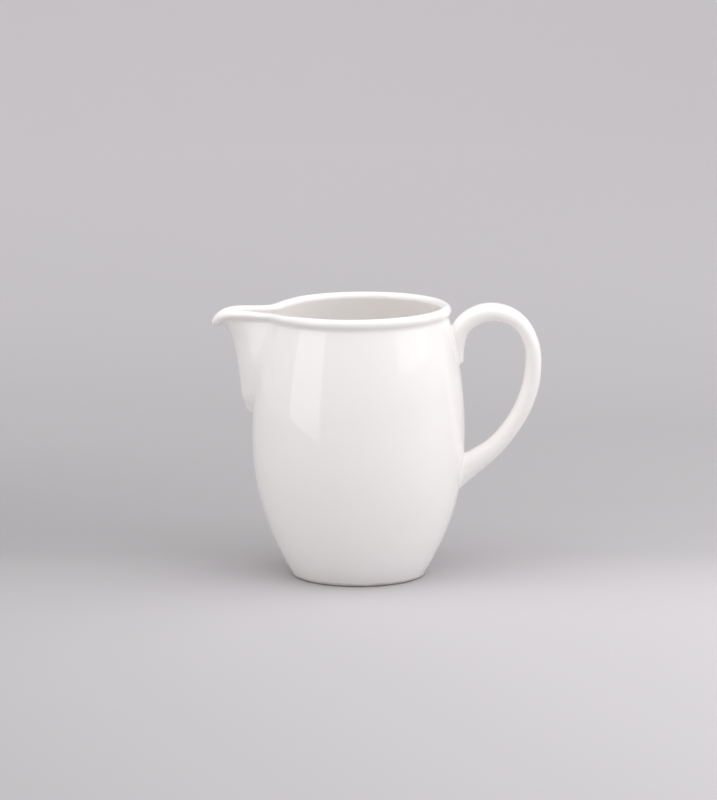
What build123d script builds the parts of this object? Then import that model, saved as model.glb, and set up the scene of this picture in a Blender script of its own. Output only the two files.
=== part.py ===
from build123d import *
from math import cos, degrees, pi, radians, sin
import os

# A porcelain cream jug: a barrel-shaped body on a low standing ring, a rolled rim that
# runs on round the lips of a pouring spout, and a loop handle. The spout and the handle
# are made apart and luted to the leather-hard body with slip, so each join is a thin
# layer of slip that is a piece of its own.
#
# Millimetres. Z is up, the origin is the centre of the standing ring on the table, the
# spout points to -X and the handle to +X. The jug is the same on both sides of Y = 0.

# Driving dimensions
RIM_TOP = 100.0  # highest point of the rim above the table
RIM_RADIUS = 32.2  # centre line of the rolled rim round the mouth
BEAD_RADIUS = 1.7  # the rolled rim's own section
BELLY_RADIUS = 38.95  # widest outside radius of the barrel
BELLY_HEIGHT = 53.0
NECK_RADIUS = 33.3  # outside radius just under the rolled rim
NECK_HEIGHT = 95.0
FOOT_RADIUS = 23.85  # outside radius that the barrel's curve has at the table
SPOUT_REACH = 54.4  # tip of the beak from the jug's axis
HANDLE_REACH = 67.2  # outside of the handle's bow from the jug's axis

# Walls, after firing
WALL = 3.0
RIM_WALL = 2.2  # the wall thins to this under the rolled rim
FLOOR = 3.5
SPOUT_WALL = 2.4
SLIP = 0.5  # thickness of a slip join
INSIDE_CORNER = 6.0  # rounding where the floor meets the wall

# Standing ring
RING_HEIGHT = 2.0
RING_WIDTH = 3.0
RING_EDGE = 1.0  # rounding of the ring's outer bottom edge

# Spout and lips
RIM_CENTRE = RIM_TOP - BEAD_RADIUS
LIP_DROP = 0.6  # the spout's lips lie this much lower than the rim at the handle
BEAK_DROOP = 2.9  # how far the beak's tip curls down below the lips
CHANNEL_FLOOR = 65.0  # lowest level of the channel inside the spout

# Each level of the spout: height, distance of its keel from the axis, half the angle that
# it covers on the barrel in degrees, and how sharply its section draws in to the keel.
SPOUT_LEVELS = [
    (60.7, 39.4, 5.0, 1.0),
    (65.0, 41.9, 11.0, 1.2),
    (72.0, 43.3, 18.0, 1.8),
    (80.0, 44.3, 24.0, 2.5),
    (87.0, 45.7, 28.0, 3.6),
    (92.5, 48.2, 32.0, 5.4),
    (RIM_CENTRE - LIP_DROP, 52.5, 35.0, 7.6),
]
LIP_SPREAD, LIP_SHARPNESS = SPOUT_LEVELS[-1][2:]

# Handle
HANDLE_THICKNESS = 6.5  # seen from the side
HANDLE_WIDTH = 10.5  # seen from the end
HANDLE_TOP = 101.2
UPPER_JOIN = (76.2, 95.4, 11.5)  # lowest point, highest point and width on the barrel
LOWER_JOIN = (31.0, 46.2, 13.0)

os.makedirs("parts", exist_ok=True)


def barrel_radius(height):
    """Outside radius of the barrel: two power curves that meet at the belly."""
    if height < BELLY_HEIGHT:
        below = (BELLY_HEIGHT - height) / BELLY_HEIGHT
        return BELLY_RADIUS - (BELLY_RADIUS - FOOT_RADIUS) * below**2.12
    above = (height - BELLY_HEIGHT) / (NECK_HEIGHT - BELLY_HEIGHT)
    return BELLY_RADIUS - (BELLY_RADIUS - NECK_RADIUS) * above**2


def inside_radius(height):
    """Inside radius of the barrel, whose wall thins from the belly to the rim."""
    above = max(0, (height - BELLY_HEIGHT) / (RIM_CENTRE - BELLY_HEIGHT))
    return barrel_radius(height) - WALL + (WALL - RIM_WALL) * above


def slip_radius(height):
    """Outside radius of a layer of slip laid on the barrel."""
    return barrel_radius(height) + SLIP


def turned(radius_at, bottom, top):
    """A solid of revolution whose outline is a function of height."""
    steps = 8
    heights = [bottom + (top - bottom) * step / steps for step in range(steps + 1)]
    outline = [(radius_at(height), height) for height in heights]
    with BuildPart() as solid:
        with BuildSketch(Plane.XZ):
            with BuildLine():
                Spline(*outline)
                Polyline(outline[-1], (0, top), (0, bottom), outline[0])
            make_face()
        revolve(axis=Axis.Z)
    return solid.part


def spout_section(height, root, keel, spread, sharpness):
    """One level of the spout as a face. From the radius root, at the angle spread on each
    side of -X, it bulges out to the keel along a power of a cosine."""
    steps = 12
    outline = []
    for step in range(1, steps):
        share = 2 * step / steps - 1
        angle = radians(spread) * share
        radius = root + (keel - root) * cos(pi / 2 * share) ** sharpness
        outline.append((-radius * cos(angle), radius * sin(angle)))
    side = root * sin(radians(spread))
    outline = [(-root * cos(radians(spread)), -side)] + outline
    outline.append((outline[0][0], side))
    back = -root / 2
    with BuildSketch(Plane.XY.offset(height)) as face:
        with BuildLine():
            Spline(*outline)
            Polyline(outline[-1], (back, side), (back, -side), outline[0])
        make_face()
    return face.sketch


def spout_block():
    """The outside of the spout, solid and running back into the barrel."""
    return loft(
        [
            spout_section(height, barrel_radius(height), keel, spread, sharpness)
            for height, keel, spread, sharpness in SPOUT_LEVELS
        ]
    )


def spout_channel():
    """The channel inside the spout, open at the lips and through the barrel's wall."""
    levels = [level for level in SPOUT_LEVELS if level[0] >= CHANNEL_FLOOR]
    above_lips = (RIM_TOP + WALL, *levels[-1][1:])
    sections = []
    for height, keel, spread, sharpness in levels + [above_lips]:
        root = inside_radius(height)
        inner_spread = spread - degrees(SPOUT_WALL / root)
        sections.append(
            spout_section(height, root, keel - SPOUT_WALL, inner_spread, sharpness)
        )
    return loft(sections)


def lip_point(turn):
    """A point of the rolled rim's centre line. turn is 0 at the beak and 1 at the handle."""
    angle = pi * turn
    beak = 0
    if angle < radians(LIP_SPREAD):
        beak = cos(pi / 2 * angle / radians(LIP_SPREAD))
    reach = SPOUT_REACH - BEAD_RADIUS
    radius = RIM_RADIUS + (reach - RIM_RADIUS) * beak**LIP_SHARPNESS
    height = RIM_CENTRE - LIP_DROP * (1 + cos(angle)) / 2 - BEAK_DROOP * beak**30
    return (-radius * cos(angle), radius * sin(angle), height)


def rolled_rim():
    """The rim's bead, swept round one side of the mouth from the beak to the handle and
    mirrored to the other side."""
    along_lip = [0, 0.012, 0.026, 0.044, 0.064, 0.086, 0.11, 0.14, 0.18, 0.24]
    round_mouth = [0.36, 0.52, 0.68, 0.84, 1]
    points = [lip_point(turn) for turn in along_lip + round_mouth]
    path = Spline(*points, tangents=[(0, 1, 0), (0, -1, 0)], tangent_scalars=[1, 1])
    section = Plane(path @ 0, z_dir=path % 0) * Circle(BEAD_RADIUS)
    half = sweep(section, path)
    return half + mirror(half, about=Plane.XZ)


def handle_loop():
    """The handle's loop: an oval section swept from the tongue that lies against the neck,
    over the bow and down into the lower join, where it thickens."""
    crown = HANDLE_TOP - HANDLE_THICKNESS / 2
    bow = HANDLE_REACH - HANDLE_THICKNESS / 2
    path = Spline(
        (35.4, 0, 77.4),
        (36.1, 0, 86.0),
        (40.4, 0, 94.3),
        (49.4, 0, crown),
        (58.6, 0, 93.6),
        (bow, 0, 78.5),
        (61.0, 0, 63.4),
        (52.3, 0, 50.0),
        (43.0, 0, 41.9),
        (32.0, 0, 33.6),
    )
    sizes = [(0.0, 1.0, 0.8), (0.2, 1.0, 1.0), (0.75, 1.0, 1.0), (1.0, 1.4, 1.1)]
    sections = []
    for share, thicker, wider in sizes:
        across = Plane(path @ share, x_dir=(0, 1, 0), z_dir=path % share)
        oval = Ellipse(wider * HANDLE_WIDTH / 2, thicker * HANDLE_THICKNESS / 2)
        sections.append(across * oval)
    return sweep(sections, path, multisection=True)


def slip_patch(skin, low, high, width):
    """The part of a skin round the barrel that a slot-shaped join covers, handle side."""
    with BuildPart() as column:
        with BuildSketch(Plane.YZ.offset(BELLY_RADIUS / 2)):
            with Locations((0, (low + high) / 2)):
                SlotOverall(high - low, width, rotation=90)
        extrude(amount=BELLY_RADIUS)
    return skin & column.part


def standing_ring():
    """The ring that the jug stands on, with its outer bottom edge rounded."""
    flat_edge = FOOT_RADIUS - RING_EDGE
    inner = flat_edge - RING_WIDTH
    shoulder = (barrel_radius(RING_EDGE), RING_EDGE)
    with BuildPart() as ring:
        with BuildSketch(Plane.XZ):
            with BuildLine():
                Polyline(
                    (flat_edge, 0),
                    (inner, 0),
                    (inner, RING_HEIGHT),
                    (barrel_radius(RING_HEIGHT), RING_HEIGHT),
                    shoulder,
                )
                TangentArc((flat_edge, 0), shoulder, tangent=(1, 0))
            make_face()
        revolve(axis=Axis.Z)
    return ring.part


def cavity():
    """The space inside the barrel, with a rounded corner at the floor."""
    hollow = turned(inside_radius, RING_HEIGHT + FLOOR, RIM_TOP + WALL)
    floor_edge = hollow.edges().filter_by(GeomType.CIRCLE).sort_by(Axis.Z)[0]
    return fillet(floor_edge, INSIDE_CORNER)


# Whole shapes, before they are cut to meet each other
bead = rolled_rim()
hollows = cavity() + spout_channel()
barrel = turned(barrel_radius, RING_HEIGHT, RIM_CENTRE)
slipped_barrel = turned(slip_radius, RING_HEIGHT, RIM_CENTRE)
slip_skin = slipped_barrel - barrel
spout_shell = spout_block() - hollows - bead

# Every piece meets its neighbours face to face
spout_join = (spout_shell & slip_skin).solids().sort_by(SortBy.VOLUME)[-1]
pieces = {
    "body": barrel - hollows - bead,
    "standing_ring": standing_ring(),
    "rolled_rim": bead,
    "spout": spout_shell - slipped_barrel,
    "handle": handle_loop() - slipped_barrel,
    "spout_slip_joint": spout_join,
    "upper_handle_slip_joint": slip_patch(slip_skin, *UPPER_JOIN),
    "lower_handle_slip_joint": slip_patch(slip_skin, *LOWER_JOIN),
}

for name, piece in pieces.items():
    export_step(piece, f"parts/{name}.step")
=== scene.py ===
"""A glazed porcelain cream jug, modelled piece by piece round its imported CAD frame."""

import bpy
import numpy as np
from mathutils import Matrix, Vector


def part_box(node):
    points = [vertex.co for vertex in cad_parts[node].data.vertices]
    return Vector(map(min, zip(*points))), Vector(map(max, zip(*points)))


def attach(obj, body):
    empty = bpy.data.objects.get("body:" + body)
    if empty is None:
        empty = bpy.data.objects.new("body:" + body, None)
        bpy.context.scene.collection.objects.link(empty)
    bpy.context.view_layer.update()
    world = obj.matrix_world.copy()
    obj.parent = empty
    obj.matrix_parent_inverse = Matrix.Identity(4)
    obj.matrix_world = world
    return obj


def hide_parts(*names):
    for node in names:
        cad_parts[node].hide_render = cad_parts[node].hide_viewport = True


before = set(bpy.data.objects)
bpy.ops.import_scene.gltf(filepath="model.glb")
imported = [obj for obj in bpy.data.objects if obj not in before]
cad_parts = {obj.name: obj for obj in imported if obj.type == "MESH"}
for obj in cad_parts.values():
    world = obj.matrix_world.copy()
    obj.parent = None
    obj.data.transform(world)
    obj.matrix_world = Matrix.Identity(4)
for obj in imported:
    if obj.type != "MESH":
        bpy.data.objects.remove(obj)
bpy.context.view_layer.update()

# ---------------------------------------------------------------------------
# Driving dimensions, read from the frame. UNIT is a hundredth of the height of
# the rim, and every length below is counted in it.
# ---------------------------------------------------------------------------

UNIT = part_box("rolled_rim")[1].z / 100
BELLY_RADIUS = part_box("body")[1].y / UNIT
HANDLE_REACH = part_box("handle")[1].x / UNIT
BELLY_HEIGHT = 53.0
NECK_RADIUS = 33.3
NECK_HEIGHT = 95.0
FOOT_RADIUS = 23.85
GLAZE = 0.2  # thickness of the glaze, which the frame leaves out

WALL_TOP = 96.7  # height at which the wall ends and the rolled rim starts
RIM_HALF_WIDTH = 1.95
RIM_HALF_HEIGHT = 2.05
BEAK_HALF_HEIGHT = 1.6  # the same round the spout
RIM_SET_BACK = 0.4  # how far the bead's centre lies inside the wall's outer face
RIM_JOIN = np.radians(-55)  # turn round the bead at which the groove under it starts

RING_TOP = 1.3  # the standing ring is bare below this height
RING_FLAT = 22.9  # outer edge of the ring's flat bottom
RING_INSIDE = 19.85
RECESS = 2.4  # height of the underside of the base inside the ring

INSIDE_CORNER = 6.0
CORNER_START = 9.0

SPOUT_FOOT = 60.7
SPOUT_FOOT_ROUNDING = 1.6
LIP_DROP = 0.6


def smooth(points, at):
    """The values at some positions of a natural cubic spline through (position, value)
    points. Beyond the end points it keeps their values."""
    position, value = np.array(points, float).T
    width = np.diff(position)
    slope = np.diff(value) / width
    count = len(position)
    matrix = np.eye(count)
    right = np.zeros(count)
    for row in range(1, count - 1):
        matrix[row, row - 1] = width[row - 1]
        matrix[row, row] = 2 * (width[row - 1] + width[row])
        matrix[row, row + 1] = width[row]
        right[row] = 6 * (slope[row] - slope[row - 1])
    bend = np.linalg.solve(matrix, right)
    at = np.clip(np.asarray(at, float), position[0], position[-1])
    span = np.clip(np.searchsorted(position, at) - 1, 0, count - 2)
    step = width[span]
    far = (at - position[span]) / step
    near = 1 - far
    curve = (near**3 - near) * bend[span] + (far**3 - far) * bend[span + 1]
    return near * value[span] + far * value[span + 1] + curve * step**2 / 6


def unit(vectors):
    """Vectors along the last axis, scaled to length 1."""
    return vectors / np.linalg.norm(vectors, axis=-1, keepdims=True)


# ---------------------------------------------------------------------------
# Mesh building: faces are rows of vertex numbers into one array of points, and a
# piece keeps only the points that its faces use.
# ---------------------------------------------------------------------------


def strip_faces(first, second, closed=True):
    """Quads between two rows of vertex numbers, seen from the side where the second row
    lies above and the rows run to the right."""
    if closed:
        first = np.append(first, first[0])
        second = np.append(second, second[0])
    return np.stack([first[:-1], first[1:], second[1:], second[:-1]], axis=1).tolist()


def fan_faces(row, centre):
    """Triangles from a closed row of vertex numbers to a centre."""
    following = np.roll(row, -1)
    return [[a, b, centre] for a, b in zip(row.tolist(), following.tolist())]


def mesh_piece(name, points, faces, sharp=35.0):
    """A smooth-shaded object from points in units, with edges over an angle kept sharp."""
    used, numbers = np.unique(np.concatenate([np.array(f) for f in faces]), return_inverse=True)
    sizes = [len(f) for f in faces]
    ends = np.cumsum(sizes)
    local = [numbers[end - size : end].tolist() for size, end in zip(sizes, ends)]
    mesh = bpy.data.meshes.new(name)
    mesh.from_pydata((points[used] * UNIT).tolist(), [], local)
    mesh.validate()
    mesh.shade_smooth()
    mesh.set_sharp_from_angle(angle=np.radians(sharp))
    piece = bpy.data.objects.new(name, mesh)
    bpy.context.scene.collection.objects.link(piece)
    return piece


# ---------------------------------------------------------------------------
# The vessel's wall: a barrel with a spout drawn out of it. Its outside is one
# surface of rows and columns. The rows run from the standing ring to the rim, and
# the columns run once round, the first of them covering the spout.
# ---------------------------------------------------------------------------

# How far the spout's keel stands out of the barrel, by height
KEEL_STAND = [
    (60.7, 2.0), (63.0, 2.6), (66.0, 4.0), (70.4, 5.1), (76.4, 6.6), (82.4, 8.5),
    (87.0, 10.4), (91.4, 13.2), (94.0, 15.4), (96.7, 17.9),
]
# The same for the channel inside, which starts higher
CHANNEL_STAND = [
    (62.0, 0.0), (65.0, 0.4), (69.0, 2.4), (74.0, 5.0), (79.0, 7.0), (83.0, 8.7),
    (87.0, 10.4), (91.4, 13.2), (94.0, 15.4), (96.7, 17.9),
]
# Half the angle that the spout covers on the barrel, in degrees, by height
SPREAD = [
    (0, 20.0), (30.0, 17.0), (50.0, 8.0), (57.0, 4.6), (60.7, 4.6), (65.0, 10.5),
    (72.0, 18.0), (80.0, 24.0), (87.0, 28.0), (92.5, 32.0), (96.7, 35.0),
]
# How sharply a level of the spout draws in to its keel, by height
SHARPNESS = [
    (60.0, 1.15), (66.0, 1.35), (72.0, 1.8), (80.0, 2.5), (87.0, 3.6), (92.5, 5.4),
    (96.7, 7.6),
]
# How far the nose of the lips droops below the lips beside it, by their height
NOSE_DROOP = [(88.0, 0.0), (91.4, 0.1), (94.0, 1.0), (96.7, 2.8)]
NOSE_WIDTH = 3.6  # half the angle of that droop, in degrees
# Thickness of the wall, by height
THICKNESS = [(0, 3.0), (53.0, 3.0), (75.0, 2.8), (90.0, 2.45), (96.7, 2.35)]

SPOUT_COLUMNS = 64
BARREL_COLUMNS = 232
COLUMNS = SPOUT_COLUMNS + BARREL_COLUMNS
JOIN_COLUMNS = 6  # columns on each side of the spout that its slip joint takes
JOIN_ROWS = 4  # rows under the foot of the spout that it takes


def barrel_radius(height):
    """Outside radius of the barrel: two power curves that meet at the belly."""
    below = np.clip((BELLY_HEIGHT - height) / BELLY_HEIGHT, 0, None)
    above = np.clip((height - BELLY_HEIGHT) / (NECK_HEIGHT - BELLY_HEIGHT), 0, None)
    drawn_in = (BELLY_RADIUS - FOOT_RADIUS) * below**2.2
    return GLAZE + BELLY_RADIUS - drawn_in - (BELLY_RADIUS - NECK_RADIUS) * above**2


def row_heights():
    """Heights of the rows, closer together at the foot of the spout and at the rim."""
    return np.concatenate(
        [
            np.linspace(RING_TOP, 58.5, 64, endpoint=False),
            np.linspace(58.5, 64.5, 30, endpoint=False),
            np.linspace(64.5, 93.0, 48, endpoint=False),
            np.linspace(93.0, WALL_TOP, 24),
        ]
    )


def wall_surface(heights, stand, foot_rounding):
    """Points of a barrel with a spout, as an array of rows, columns and coordinates."""
    height = heights[:, None]
    spread = np.radians(smooth(SPREAD, height))
    across = np.linspace(-1, 1, SPOUT_COLUMNS + 1)
    behind = np.linspace(1, -1, BARREL_COLUMNS, endpoint=False)[1:]
    angle = np.concatenate([spread * across, np.pi - (np.pi - spread) * behind], axis=1)

    share = np.concatenate([across, np.ones(len(behind))])
    ridge = np.clip(np.cos(np.pi / 2 * share), 0, 1) ** smooth(SHARPNESS, height)
    if foot_rounding:
        rise = np.clip((height - SPOUT_FOOT) / foot_rounding, 0, 1)
        ridge = ridge * np.sqrt(1 - (1 - rise) ** 2)
    radius = barrel_radius(height) + smooth(stand, height) * ridge

    nose = np.exp(-((angle / np.radians(NOSE_WIDTH)) ** 2))
    nose = nose + np.exp(-(((angle - 2 * np.pi) / np.radians(NOSE_WIDTH)) ** 2))
    rise = np.clip((height - SPOUT_FOOT) / (WALL_TOP - SPOUT_FOOT), 0, 1)
    drop = LIP_DROP * (1 + np.cos(angle)) / 2 * rise**2
    z = height - drop - smooth(NOSE_DROOP, height) * nose
    return np.stack([-radius * np.cos(angle), radius * np.sin(angle), z], axis=2)


def surface_frame(points):
    """The outward normals of a surface of closed rows, and the directions up its columns."""
    up = unit(np.gradient(points, axis=0))
    along = np.roll(points, -1, axis=1) - np.roll(points, 1, axis=1)
    return unit(np.cross(up, along)), up


def build_wall():
    """The points of the wall's outside and inside, and the frame of its top edge."""
    heights = row_heights()
    outside = wall_surface(heights, KEEL_STAND, SPOUT_FOOT_ROUNDING)
    normal, up = surface_frame(outside)
    eased = wall_surface(heights, CHANNEL_STAND, 0)
    eased_normal, _ = surface_frame(eased)
    inside = eased - eased_normal * smooth(THICKNESS, heights)[:, None, None]
    top = outside[-1].copy()
    into_groove = np.clip(heights - WALL_TOP - GROOVE_START, 0, None)
    flare = GROOVE_RADIUS - np.sqrt(GROOVE_RADIUS**2 - into_groove**2)
    outside = outside + normal * flare[:, None, None]
    return heights, outside, inside, top, normal[-1], up[-1]


def groove():
    """The concave groove that runs from the wall into the bead's underside: its radius,
    how far above the wall's top it starts, and the angle that it turns through."""
    lean = np.arctan2(-RIM_HALF_WIDTH * np.sin(RIM_JOIN), RIM_HALF_HEIGHT * np.cos(RIM_JOIN))
    out = RIM_HALF_WIDTH * np.cos(RIM_JOIN) - RIM_SET_BACK
    above = RIM_HALF_HEIGHT * (1 + np.sin(RIM_JOIN))
    radius = out / (1 - np.cos(lean))
    return radius, above - radius * np.sin(lean), lean


GROOVE_RADIUS, GROOVE_START, GROOVE_TURN = groove()
heights, outside, inside, wall_top, rim_normal, rim_up = build_wall()
ROWS = len(heights)
inside_start = int(np.searchsorted(heights, CORNER_START))
foot_row = int(np.searchsorted(heights, SPOUT_FOOT))


def turned_rows(profile):
    """Rows of points at the wall's columns, one for each (radius, height) of a profile."""
    around = unit(outside[0, :, :2])
    rows = [np.column_stack([around * radius, np.full(COLUMNS, z)]) for radius, z in profile]
    return np.stack(rows)


def floor_profile():
    """The inside below the wall: a rounded corner, then a floor with a slight crown."""
    edge = inside[inside_start]
    start = np.array([np.linalg.norm(edge[0, :2]), edge[0, 2]])
    above = inside[inside_start + 1]
    step = np.array([np.linalg.norm(above[0, :2]), above[0, 2]]) - start
    lean = np.arctan2(step[0], step[1])
    centre = start - INSIDE_CORNER * np.array([np.cos(lean), -np.sin(lean)])
    profile = []
    for angle in np.linspace(lean, np.pi / 2, 11)[1:]:
        profile.append(centre + INSIDE_CORNER * np.array([np.cos(angle), -np.sin(angle)]))
    flat, level = profile[-1]
    for share in (0.85, 0.65, 0.45, 0.25, 0.1):
        profile.append((flat * share, level + 0.25 * (1 - share**2)))
    return profile, (0, level + 0.25)


def underside_profile():
    """The base from the ring's inner edge to its centre, with a cove into the recess."""
    profile = [(RING_INSIDE, RING_TOP)]
    cove = RECESS - RING_TOP
    for angle in np.linspace(0, np.pi / 2, 6)[1:]:
        radius = RING_INSIDE - cove * (1 - np.cos(angle))
        profile.append((radius, RING_TOP + cove * np.sin(angle)))
    flat = profile[-1][0]
    for share in (0.8, 0.6, 0.4, 0.2, 0.08):
        profile.append((flat * share, RECESS + 0.5 * (1 - share**2)))
    return profile, (0, RECESS + 0.5)


floor_rows, floor_centre = floor_profile()
under_rows, under_centre = underside_profile()
blocks = [outside, inside, turned_rows(floor_rows), turned_rows(under_rows)]
vessel_points = np.concatenate([block.reshape(-1, 3) for block in blocks])
starts = np.cumsum([0] + [block.shape[0] * COLUMNS for block in blocks])
outer_ids, inner_ids, floor_ids, under_ids = (
    (start + np.arange(block.shape[0] * COLUMNS)).reshape(-1, COLUMNS)
    for start, block in zip(starts, blocks)
)
poles = [(0, 0, floor_centre[1]), (0, 0, under_centre[1])]
vessel_points = np.concatenate([vessel_points, poles])
floor_pole, under_pole = len(vessel_points) - 2, len(vessel_points) - 1


def wall_faces(cells):
    """Faces of the part of the wall that some cells of its grid cover: its outside, its
    inside, and an edge wherever the next cell isn't covered."""
    faces = []
    for row, column in np.argwhere(cells):
        right = (column + 1) % COLUMNS
        corners = [(row, column), (row + 1, column), (row + 1, right), (row, right)]
        faces.append([outer_ids[corner] for corner in corners])
        if row >= inside_start:
            faces.append([inner_ids[corner] for corner in reversed(corners)])
        beside = [
            (row, column - 1, 0, 1),
            (row + 1, column, 1, 2),
            (row, right, 2, 3),
            (row - 1, column, 3, 0),
        ]
        for next_row, next_column, first, second in beside:
            if row < inside_start:
                continue
            if next_row < ROWS - 1 and cells[next_row, next_column]:
                continue
            one, two = corners[first], corners[second]
            faces.append([outer_ids[two], outer_ids[one], inner_ids[one], inner_ids[two]])
    return faces


def wall_cells():
    """Which cells of the wall belong to the spout, to its slip joint and to the body."""
    spout = np.zeros((ROWS - 1, COLUMNS), bool)
    spout[foot_row:, JOIN_COLUMNS : SPOUT_COLUMNS - JOIN_COLUMNS] = True
    join = np.zeros_like(spout)
    join[foot_row - JOIN_ROWS :, :SPOUT_COLUMNS] = True
    join &= ~spout
    return spout, join, ~(spout | join)


def build_body(cells):
    """The barrel: its wall, floor and underside."""
    faces = wall_faces(cells)
    faces += strip_faces(inner_ids[inside_start], floor_ids[0])
    for first, second in zip(floor_ids[:-1], floor_ids[1:]):
        faces += strip_faces(first, second)
    faces += fan_faces(floor_ids[-1], floor_pole)
    faces += strip_faces(outer_ids[0], under_ids[0])
    for first, second in zip(under_ids[:-1], under_ids[1:]):
        faces += strip_faces(first, second)
    faces += fan_faces(under_ids[-1], under_pole)
    return mesh_piece("jug_body", vessel_points, faces)


def swept_ring(name, sections, sharp=35.0):
    """A closed ring of closed sections, given as an array of sections, points and
    coordinates."""
    count, size = sections.shape[:2]
    numbers = np.arange(count * size).reshape(count, size)
    faces = []
    for one in range(count):
        faces += strip_faces(numbers[one], numbers[(one + 1) % count])
    return mesh_piece(name, sections.reshape(-1, 3), faces, sharp)


def build_rim():
    """The rolled rim: an oval bead that starts at the wall's outer edge, rolls over the
    top and runs down flush with the inside."""
    normal, up = rim_normal[:, None], rim_up[:, None]
    foot = wall_top[:, None]
    spread = np.radians(SPREAD[-1][1])
    angle = np.arctan2(wall_top[:, 1], -wall_top[:, 0])
    thinner = np.clip(1.5 - np.abs(angle) / spread, 0, 1)
    thinner = (thinner**2 * (3 - 2 * thinner))[:, None, None]
    half_height = RIM_HALF_HEIGHT + (BEAK_HALF_HEIGHT - RIM_HALF_HEIGHT) * thinner
    centre = foot + up * half_height - normal * RIM_SET_BACK
    start = np.arcsin(-GROOVE_START / GROOVE_RADIUS)
    turn = np.linspace(start, GROOVE_TURN, 8)[None, 1:-1, None]
    flare = normal * GROOVE_RADIUS * (1 - np.cos(turn))
    under = foot + flare + up * (GROOVE_START + GROOVE_RADIUS * np.sin(turn))
    turn = np.linspace(RIM_JOIN, np.pi, 36)[None, :, None]
    bead = centre + normal * RIM_HALF_WIDTH * np.cos(turn) + up * half_height * np.sin(turn)
    outer_edge, inner_edge = outside[-1][:, None], inside[-1][:, None]
    settle = np.linspace(1, 0, 6)[None, 1:-1, None]
    down = inner_edge + (bead[:, -1:] - inner_edge) * settle
    sections = np.concatenate([outer_edge, under, bead, down, inner_edge], axis=1)
    return swept_ring("jug_rolled_rim", sections[:, ::-1])


def build_standing_ring():
    """The bare ring under the body, with a rounded outer edge."""
    shoulder = float(barrel_radius(RING_TOP))
    profile = [(RING_INSIDE, RING_TOP), (RING_INSIDE, 0.5), (RING_INSIDE + 0.15, 0.15)]
    profile += [(RING_INSIDE + 0.5, 0), (RING_FLAT - 1, 0)]
    for angle in np.linspace(0, np.pi / 2, 9):
        radius = RING_FLAT + (shoulder - RING_FLAT) * np.sin(angle)
        profile.append((radius, RING_TOP * (1 - np.cos(angle))))
    sections = turned_rows(profile).transpose(1, 0, 2)
    return swept_ring("jug_standing_ring", sections)


spout_cells, join_cells, body_cells = wall_cells()
body = build_body(body_cells)
spout = mesh_piece("jug_spout", vessel_points, wall_faces(spout_cells))
spout_join = mesh_piece("jug_spout_slip_joint", vessel_points, wall_faces(join_cells))
rim = build_rim()
ring = build_standing_ring()

# ---------------------------------------------------------------------------
# The handle: an oval tube along a curve in the plane Y = 0. Its upper end is a
# tongue that lies against the neck, and its lower end runs into the barrel.
# ---------------------------------------------------------------------------

HANDLE_PATH = [
    (35.3, 79.8), (35.7, 85.5), (37.8, 92.0), (42.8, 96.3), (49.4, 97.75), (56.4, 95.8),
    (61.4, 90.8), (63.9, 83.9), (HANDLE_REACH - 2.85, 77.3), (63.2, 70.5), (60.4, 62.4),
    (55.8, 54.6), (49.4, 47.2), (41.5, 41.3), (33.0, 34.9), (24.5, 28.5),
]
# Half thickness seen from the side, and half width, by share of the path's points
HALF_THICKNESS = [
    (0, 3.3), (1, 3.35), (2, 3.45), (3, 3.5), (4, 3.4), (6, 2.9), (8, 3.05), (10, 3.2),
    (12, 3.55), (13, 4.4), (15, 5.6),
]
HALF_WIDTH = [(0, 4.3), (2, 5.0), (4, 5.3), (8, 5.2), (11, 5.2), (15, 6.2)]
OVALNESS = 2.2  # exponent of the handle's section, 2 for an ellipse
TONGUE_CAP = 1.5  # rounding of the tongue's lower end
BURIED = 1.2  # how deep the handle's ends sit in the wall
LOWER_START = 10  # from this place on, each line of the skin runs to its own buried end
AROUND = 72


def handle_path(place):
    """Points and directions of the handle's curve at places counted along its points."""
    x_points = [(index, point[0]) for index, point in enumerate(HANDLE_PATH)]
    z_points = [(index, point[1]) for index, point in enumerate(HANDLE_PATH)]
    small = 1e-3
    ahead = np.clip(place + small, 0, len(HANDLE_PATH) - 1)
    behind = np.clip(place - small, 0, len(HANDLE_PATH) - 1)
    flat = np.zeros_like(place)
    point = np.stack([smooth(x_points, place), flat, smooth(z_points, place)], axis=-1)
    along_x = smooth(x_points, ahead) - smooth(x_points, behind)
    along_z = smooth(z_points, ahead) - smooth(z_points, behind)
    return point, unit(np.stack([along_x, flat, along_z], axis=-1))


def handle_points(place, turn, shrink=1.0):
    """Points of the handle's skin at places along it and turns round it."""
    point, along = handle_path(place)
    across = np.stack([along[..., 2], np.zeros_like(place), -along[..., 0]], axis=-1)
    sideways = np.array([0, 1.0, 0])
    cosine, sine = np.cos(turn), np.sin(turn)
    reach = smooth(HALF_THICKNESS, place) * np.sign(cosine) * np.abs(cosine) ** (2 / OVALNESS)
    width = smooth(HALF_WIDTH, place) * np.sign(sine) * np.abs(sine) ** (2 / OVALNESS)
    return point + shrink * (reach[..., None] * across + width[..., None] * sideways)


def keep_in_wall(points):
    """Points moved out along the barrel's radius to no deeper than the buried depth."""
    radius = np.linalg.norm(points[..., :2], axis=-1)
    least = barrel_radius(points[..., 2]) - BURIED
    return points * np.stack([np.maximum(1, least / radius)] * 2 + [np.ones_like(radius)], axis=-1)


def lower_end(turn):
    """The place along the handle at which each line of its skin reaches its buried end."""
    places = np.linspace(LOWER_START, len(HANDLE_PATH) - 1, 600)
    grid = handle_points(places[:, None] + 0 * turn, turn + 0 * places[:, None])
    depth = np.linalg.norm(grid[..., :2], axis=-1) - barrel_radius(grid[..., 2]) + BURIED
    return places[np.argmax(depth < 0, axis=0)]


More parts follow.
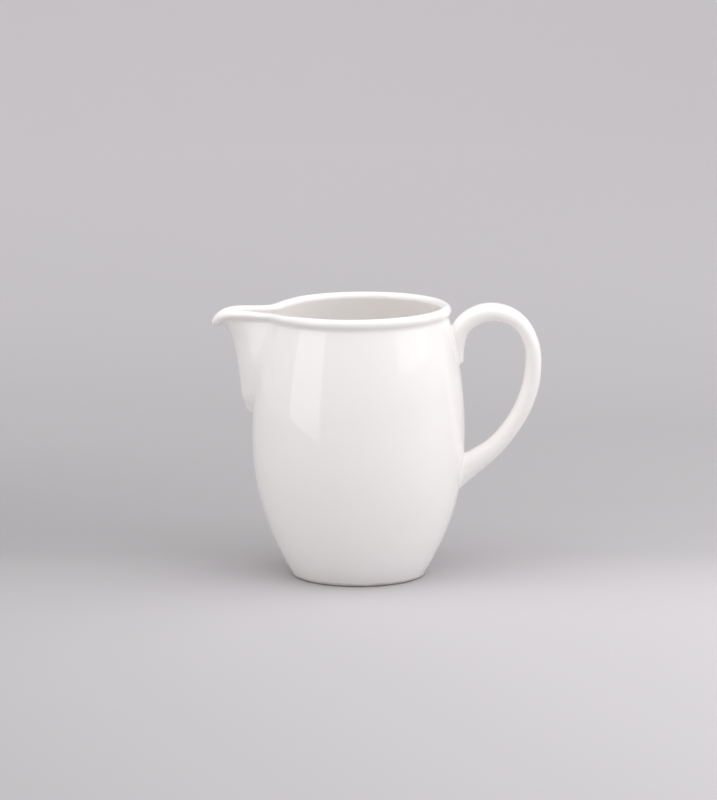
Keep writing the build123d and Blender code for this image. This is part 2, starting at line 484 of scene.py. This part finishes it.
def build_handle():
    """The handle's skin, closed by a rounded tongue above and a flat end in the wall."""
    turn = np.linspace(0, 2 * np.pi, AROUND, endpoint=False)
    ends = lower_end(turn)
    rows = []
    for angle in np.radians([75, 60, 45, 30, 15]):
        cap = handle_points(np.zeros(AROUND), turn, np.cos(angle))
        _, along = handle_path(np.zeros(1))
        rows.append(cap - along * TONGUE_CAP * np.sin(angle))
    for place in np.linspace(0, LOWER_START, 150, endpoint=False):
        rows.append(handle_points(np.full(AROUND, place), turn))
    for share in np.linspace(0, 1, 64):
        rows.append(handle_points(LOWER_START + (ends - LOWER_START) * share, turn))
    rows = keep_in_wall(np.stack(rows))
    _, along = handle_path(np.zeros(1))
    tip = keep_in_wall(np.array([HANDLE_PATH[0][0], 0, HANDLE_PATH[0][1]]) - along[0] * TONGUE_CAP)
    poles = np.stack([tip, rows[-1].mean(axis=0)])
    points = np.concatenate([rows.reshape(-1, 3), poles])
    numbers = np.arange(len(rows) * AROUND).reshape(-1, AROUND)
    faces = []
    for first, second in zip(numbers[:-1], numbers[1:]):
        faces += strip_faces(first, second)
    faces += fan_faces(numbers[-1], len(points) - 1)
    faces += fan_faces(numbers[0][::-1], len(points) - 2)
    return mesh_piece("jug_handle", points, faces)


# ---------------------------------------------------------------------------
# The slip round each root of the handle: a small concave fillet that follows the
# line in which the handle meets the barrel.
# ---------------------------------------------------------------------------

UPPER_ROOT = 86.3  # heights of the middles of the two roots
LOWER_ROOT = 38.8
ROOT_REACH = 13.0  # further from a root's middle than any part of its edge
UPPER_SLIP = 1.3  # how far each slip spreads over the wall and up the handle
LOWER_SLIP = 1.5
SLIP_SUNK = 0.04  # how deep a slip's thin edges lie in the surfaces that they meet
SLIP_CORE = 0.4  # how deep its buried side lies

PATH_PLACES = np.linspace(0, len(HANDLE_PATH) - 1, 700)
PATH_POINTS, PATH_ALONG = handle_path(PATH_PLACES)
PATH_THICK = smooth(HALF_THICKNESS, PATH_PLACES)
PATH_WIDE = smooth(HALF_WIDTH, PATH_PLACES)


def handle_excess(points):
    """Below zero inside the handle and above zero outside it, near its skin."""
    offset = points[..., None, [0, 2]] - PATH_POINTS[:, [0, 2]]
    nearest = np.argmin((offset**2).sum(axis=-1), axis=-1)
    offset = np.take_along_axis(offset, nearest[..., None, None], axis=-2)[..., 0, :]
    along = PATH_ALONG[nearest][..., [0, 2]]
    across = np.abs(offset[..., 0] * along[..., 1] - offset[..., 1] * along[..., 0])
    before = np.clip(-(offset * along).sum(axis=-1), 0, None) * (nearest == 0)
    inner = (across / PATH_THICK[nearest]) ** OVALNESS
    inner = inner + (np.abs(points[..., 1]) / PATH_WIDE[nearest]) ** OVALNESS
    return (inner ** (2 / OVALNESS) + (before / TONGUE_CAP) ** 2) ** 0.5 - 1


def on_barrel(y, z):
    """Points of the barrel's outside on the handle's side."""
    return np.stack([np.sqrt(barrel_radius(z) ** 2 - y**2), y, z], axis=-1)


def barrel_normal(points):
    """The barrel's outward normals at points on it."""
    small = 0.01
    z = points[..., 2]
    lean = (barrel_radius(z + small) - barrel_radius(z - small)) / (2 * small)
    flat = unit(points[..., :2])
    return unit(np.concatenate([flat, -lean[..., None]], axis=-1))


def excess_slope(points):
    """The direction in which the handle's excess grows fastest."""
    small = 0.02
    steps = np.eye(3) * small
    parts = [handle_excess(points + step) - handle_excess(points - step) for step in steps]
    return unit(np.stack(parts, axis=-1))


def build_slip_ring(name, middle, size):
    """A fillet round the root of the handle whose middle is at a height on the barrel."""
    turn = np.linspace(0, 2 * np.pi, 120, endpoint=False)[:, None]
    away = np.linspace(0.5, ROOT_REACH, 260)[None, :]
    rays = on_barrel(away * np.cos(turn), middle + away * np.sin(turn))
    excess = handle_excess(rays)
    crossing = np.argmax(excess > 0, axis=1)
    rows = np.arange(len(turn))
    after, before = excess[rows, crossing], excess[rows, crossing - 1]
    share = before / (before - after)
    distance = away[0, crossing - 1] + share * (away[0, 1] - away[0, 0])
    turn = turn[:, 0]
    root = on_barrel(distance * np.cos(turn), middle + distance * np.sin(turn))

    wall_out = barrel_normal(root)
    skin_out = excess_slope(root)
    on_wall = unit(skin_out - wall_out * (skin_out * wall_out).sum(-1, keepdims=True))
    on_skin = unit(wall_out - skin_out * (skin_out * wall_out).sum(-1, keepdims=True))
    wall_edge = root + on_wall * size
    wall_edge = on_barrel(wall_edge[:, 1], wall_edge[:, 2])
    skin_edge = root + on_skin * size
    for _ in range(4):
        skin_edge = skin_edge - excess_slope(skin_edge) * handle_excess(skin_edge)[:, None] * 3
    wall_edge = wall_edge - barrel_normal(wall_edge) * SLIP_SUNK
    skin_edge = skin_edge - excess_slope(skin_edge) * SLIP_SUNK
    corner = root + (on_wall + on_skin) * SLIP_SUNK
    section = []
    for share in np.linspace(0, 1, 9):
        curve = (1 - share) ** 2 * wall_edge + 2 * share * (1 - share) * corner
        section.append(curve + share**2 * skin_edge)
    section.append(root - (wall_out + skin_out) * SLIP_CORE)
    return swept_ring(name, np.stack(section, axis=1))


handle = build_handle()
upper_join = build_slip_ring("jug_upper_handle_slip_joint", UPPER_ROOT, UPPER_SLIP)
lower_join = build_slip_ring("jug_lower_handle_slip_joint", LOWER_ROOT, LOWER_SLIP)

# ---------------------------------------------------------------------------
# Materials
# ---------------------------------------------------------------------------


def node_material(name):
    """A new node material, its nodes, its links and its shader."""
    material = bpy.data.materials.new(name)
    material.use_nodes = True
    nodes = material.node_tree.nodes
    return material, nodes, material.node_tree.links, nodes["Principled BSDF"]


def noise(nodes, links, scale, detail, roughness):
    """A noise texture in the object's own coordinates."""
    place = nodes.new("ShaderNodeTexCoord")
    texture = nodes.new("ShaderNodeTexNoise")
    texture.inputs["Scale"].default_value = scale
    texture.inputs["Detail"].default_value = detail
    texture.inputs["Roughness"].default_value = roughness
    links.new(place.outputs["Object"], texture.inputs["Vector"])
    return texture


def colour_ramp(nodes, links, source, stops):
    """A colour ramp from (position, colour) stops, driven by a source socket."""
    ramp = nodes.new("ShaderNodeValToRGB")
    elements = ramp.color_ramp.elements
    while len(elements) < len(stops):
        elements.new(0.5)
    for element, (position, colour) in zip(elements, stops):
        element.position = position
        element.color = (*colour, 1)
    links.new(source, ramp.inputs["Fac"])
    return ramp


def glazed_porcelain():
    """A warm white body under a clear gloss glaze that is never perfectly even."""
    material, nodes, links, shader = node_material("glazed_porcelain")
    tone = noise(nodes, links, 28.0, 3.0, 0.5)
    white = [(0.3, (0.985, 0.951, 0.935)), (0.7, (0.992, 0.968, 0.956))]
    colour = colour_ramp(nodes, links, tone.outputs["Fac"], white)
    links.new(colour.outputs["Color"], shader.inputs["Base Color"])
    ripple = noise(nodes, links, 90.0, 2.0, 0.4)
    bump = nodes.new("ShaderNodeBump")
    bump.inputs["Strength"].default_value = 0.12
    bump.inputs["Distance"].default_value = 0.0002
    links.new(ripple.outputs["Fac"], bump.inputs["Height"])
    links.new(bump.outputs["Normal"], shader.inputs["Normal"])
    links.new(bump.outputs["Normal"], shader.inputs["Coat Normal"])
    shader.inputs["Roughness"].default_value = 0.9
    shader.inputs["Specular IOR Level"].default_value = 0
    shader.inputs["Coat Weight"].default_value = 1.0
    shader.inputs["Coat Roughness"].default_value = 0.03
    shader.inputs["Coat IOR"].default_value = 1.5
    return material


def biscuit_porcelain():
    """Bare fired porcelain, ground smooth and slightly grey where it has stood."""
    material, nodes, links, shader = node_material("biscuit_porcelain")
    tone = noise(nodes, links, 160.0, 6.0, 0.65)
    greys = [(0.35, (0.66, 0.62, 0.57)), (0.65, (0.80, 0.77, 0.73))]
    colour = colour_ramp(nodes, links, tone.outputs["Fac"], greys)
    links.new(colour.outputs["Color"], shader.inputs["Base Color"])
    grain = noise(nodes, links, 2500.0, 4.0, 0.6)
    bump = nodes.new("ShaderNodeBump")
    bump.inputs["Strength"].default_value = 0.4
    bump.inputs["Distance"].default_value = 0.0001
    links.new(grain.outputs["Fac"], bump.inputs["Height"])
    links.new(bump.outputs["Normal"], shader.inputs["Normal"])
    shader.inputs["Roughness"].default_value = 0.75
    return material


glaze = glazed_porcelain()
biscuit = biscuit_porcelain()
pieces = {
    "body": (body, glaze),
    "spout": (spout, glaze),
    "spout_slip_joint": (spout_join, glaze),
    "rolled_rim": (rim, glaze),
    "handle": (handle, glaze),
    "upper_handle_slip_joint": (upper_join, glaze),
    "lower_handle_slip_joint": (lower_join, glaze),
    "standing_ring": (ring, biscuit),
}
for node, (piece, material) in pieces.items():
    piece.data.materials.append(material)
    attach(piece, "root")
    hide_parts(node)

# ---------------------------------------------------------------------------
# Studio: a seamless paper sweep, soft boxes and the camera. Lengths in metres.
# ---------------------------------------------------------------------------

scene = bpy.context.scene
scene.view_settings.view_transform = "Standard"

TARGET = Vector((0, 0, 65.0 * UNIT))
CAMERA_DISTANCE = 1.8
CAMERA_PITCH = np.radians(10.35)
VIEW_HEIGHT = 294.1 * UNIT  # what the picture's height covers at the jug

SWEEP_NEAR_END = -3.0
SWEEP_BACK = 1.2
SWEEP_RADIUS = 1.0
SWEEP_TOP = 4.0
SWEEP_HALF_WIDTH = 4.0
# Tone of the paper from the front of the view to the back of its flat part, as (share of that
# length, tone). It isn't even: it is painted shade that follows how the photograph's backdrop
# falls off, with a painted shadow of the jug as the dark band just behind it, and it was tuned by
# comparing renders with the photograph.
VIEW_FRONT = -0.35
PAPER_PAINTED_SHADE_TONES = [
    (0.0, 0.5), (0.18, 0.545), (0.206, 0.532), (0.228, 0.493), (0.25, 0.433),
    (0.273, 0.42), (0.31, 0.418), (0.42, 0.457), (0.62, 0.572), (1.0, 0.79),
]
PAPER_SIDE_SHADE = 0.12  # how much painted shade darkens its front on the left, and painted light lightens it on the right
PAPER_SIDE_SHADE_WIDTH = 0.15
PAPER_SIDE_SHADE_START = 0.07
PAPER_SIDE_SHADE_END = 0.28

# Soft boxes: name, place, direction, width, height, radiance and role. One for "light"
# lights the scene unseen by the glaze, one for "mirror" is only seen in the glaze, and
# "both" does both. The radiances were tuned by comparing renders with the photograph.
SOFT_BOXES = [
    ("left_wall", (-0.75, 0.05, 0.6), (1, 0, 0), 1.9, 1.2, 0.36, "both"),
    ("right_fill", (0.76, -0.275, 0.55), (-0.885, 0.465, 0), 0.69, 0.8, 0.47, "light"),
    ("right_key", (0.835, 0.30, 0.60), (-0.973, -0.23, 0), 0.9, 0.9, 1.38, "light"),
    ("top_right", (0.8, -0.8, 1.0), (-0.56, 0.56, -0.62), 0.9, 0.9, 0.8, "light"),
    ("overhead", (0.0, -0.3, 1.2), (0, 0.25, -0.97), 1.6, 1.2, 1.45, "both"),
    ("left_window", (-0.5705, -0.2455, 0.25), (0.222, 0.975, 0), 0.616, 0.5, 1.2, "mirror"),
    ("right_window", (0.742, -0.266, 0.65), (-0.885, 0.465, 0), 0.67, 0.94, 0.95, "mirror"),
]
ROOM_LIGHT = 0.55


def build_sweep():
    """A paper sweep: flat in front, curving up into a wall behind."""
    profile = [(SWEEP_NEAR_END, 0.0), (SWEEP_BACK, 0.0)]
    for angle in np.linspace(0, np.pi / 2, 24)[1:]:
        rise = SWEEP_RADIUS * (1 - np.cos(angle))
        profile.append((SWEEP_BACK + SWEEP_RADIUS * np.sin(angle), rise))
    profile.append((SWEEP_BACK + SWEEP_RADIUS, SWEEP_TOP))
    sides = (-SWEEP_HALF_WIDTH, SWEEP_HALF_WIDTH)
    points = np.array([(x, y, z) for y, z in profile for x in sides]) / UNIT
    faces = [[2 * row, 2 * row + 1, 2 * row + 3, 2 * row + 2] for row in range(len(profile) - 1)]
    sweep = mesh_piece("studio_sweep", points, faces, 60)
    sweep.data.materials.append(paper_with_painted_shade())


def paper_with_painted_shade():
    """Matt grey paper with painted shade: darkest in a painted shadow just behind the jug, a
    little darker with painted shade on the left of its front and lighter with painted light on the
    right.
    """
    material, nodes, links, shader = node_material("paper_with_painted_shade")
    place = nodes.new("ShaderNodeNewGeometry")
    parts = nodes.new("ShaderNodeSeparateXYZ")
    depth = nodes.new("ShaderNodeMapRange")
    depth.inputs["From Min"].default_value = VIEW_FRONT
    depth.inputs["From Max"].default_value = SWEEP_BACK
    links.new(place.outputs["Position"], parts.inputs["Vector"])
    links.new(parts.outputs["Y"], depth.inputs["Value"])
    # Painted shade: the paper's tone by depth, with a painted shadow of the jug as its darkest
    # band.
    painted_shade_tones = [(share, (tone, tone * 0.965, tone * 0.995)) for share, tone in PAPER_PAINTED_SHADE_TONES]
    colour = colour_ramp(nodes, links, depth.outputs["Result"], painted_shade_tones)
    # Painted shade on the left of the paper's front and painted light on its right, fading out
    # behind the jug.
    across = nodes.new("ShaderNodeMapRange")
    across.inputs["From Min"].default_value = -PAPER_SIDE_SHADE_WIDTH
    across.inputs["From Max"].default_value = PAPER_SIDE_SHADE_WIDTH
    across.inputs["To Min"].default_value = -PAPER_SIDE_SHADE
    across.inputs["To Max"].default_value = PAPER_SIDE_SHADE
    links.new(parts.outputs["X"], across.inputs["Value"])
    in_front = nodes.new("ShaderNodeMapRange")
    in_front.inputs["From Min"].default_value = PAPER_SIDE_SHADE_END
    in_front.inputs["From Max"].default_value = PAPER_SIDE_SHADE_START
    links.new(parts.outputs["Y"], in_front.inputs["Value"])
    side_shade = nodes.new("ShaderNodeMath")
    side_shade.operation = "MULTIPLY_ADD"
    links.new(across.outputs["Result"], side_shade.inputs[0])
    links.new(in_front.outputs["Result"], side_shade.inputs[1])
    side_shade.inputs[2].default_value = 1
    side_shaded = nodes.new("ShaderNodeVectorMath")
    side_shaded.operation = "SCALE"
    links.new(colour.outputs["Color"], side_shaded.inputs["Vector"])
    links.new(side_shade.outputs["Value"], side_shaded.inputs["Scale"])
    links.new(side_shaded.outputs["Vector"], shader.inputs["Base Color"])
    shader.inputs["Roughness"].default_value = 0.9
    return material


def aim(thing, place, direction):
    """Puts a light or camera at a place and turns it to face a direction."""
    thing.location = place
    thing.rotation_euler = Vector(direction).to_track_quat("-Z", "Y").to_euler()


def build_lights():
    """The soft boxes, and an even light from the room."""
    world = bpy.data.worlds.new("room")
    scene.world = world
    world.use_nodes = True
    background = world.node_tree.nodes["Background"]
    background.inputs["Color"].default_value = (1, 1, 1, 1)
    background.inputs["Strength"].default_value = ROOM_LIGHT
    for name, place, direction, width, height, radiance, role in SOFT_BOXES:
        data = bpy.data.lights.new(name, "AREA")
        data.shape = "RECTANGLE"
        data.size, data.size_y = width, height
        data.energy = radiance * np.pi * width * height
        light = bpy.data.objects.new(name, data)
        light.visible_diffuse = role != "mirror"
        light.visible_glossy = role != "light"
        scene.collection.objects.link(light)
        aim(light, place, direction)


def build_camera():
    """A long lens looking down at the jug a little, square to its spout and handle."""
    data = bpy.data.cameras.new("camera")
    camera = bpy.data.objects.new("camera", data)
    scene.collection.objects.link(camera)
    forward = Vector((0, np.cos(CAMERA_PITCH), -np.sin(CAMERA_PITCH)))
    aim(camera, TARGET - forward * CAMERA_DISTANCE, forward)
    data.sensor_fit = "VERTICAL"
    data.sensor_height = 24.0
    data.lens = data.sensor_height * CAMERA_DISTANCE / VIEW_HEIGHT
    data.clip_end = 20
    scene.camera = camera


build_sweep()
build_lights()
build_camera()

bpy.context.view_layer.update()
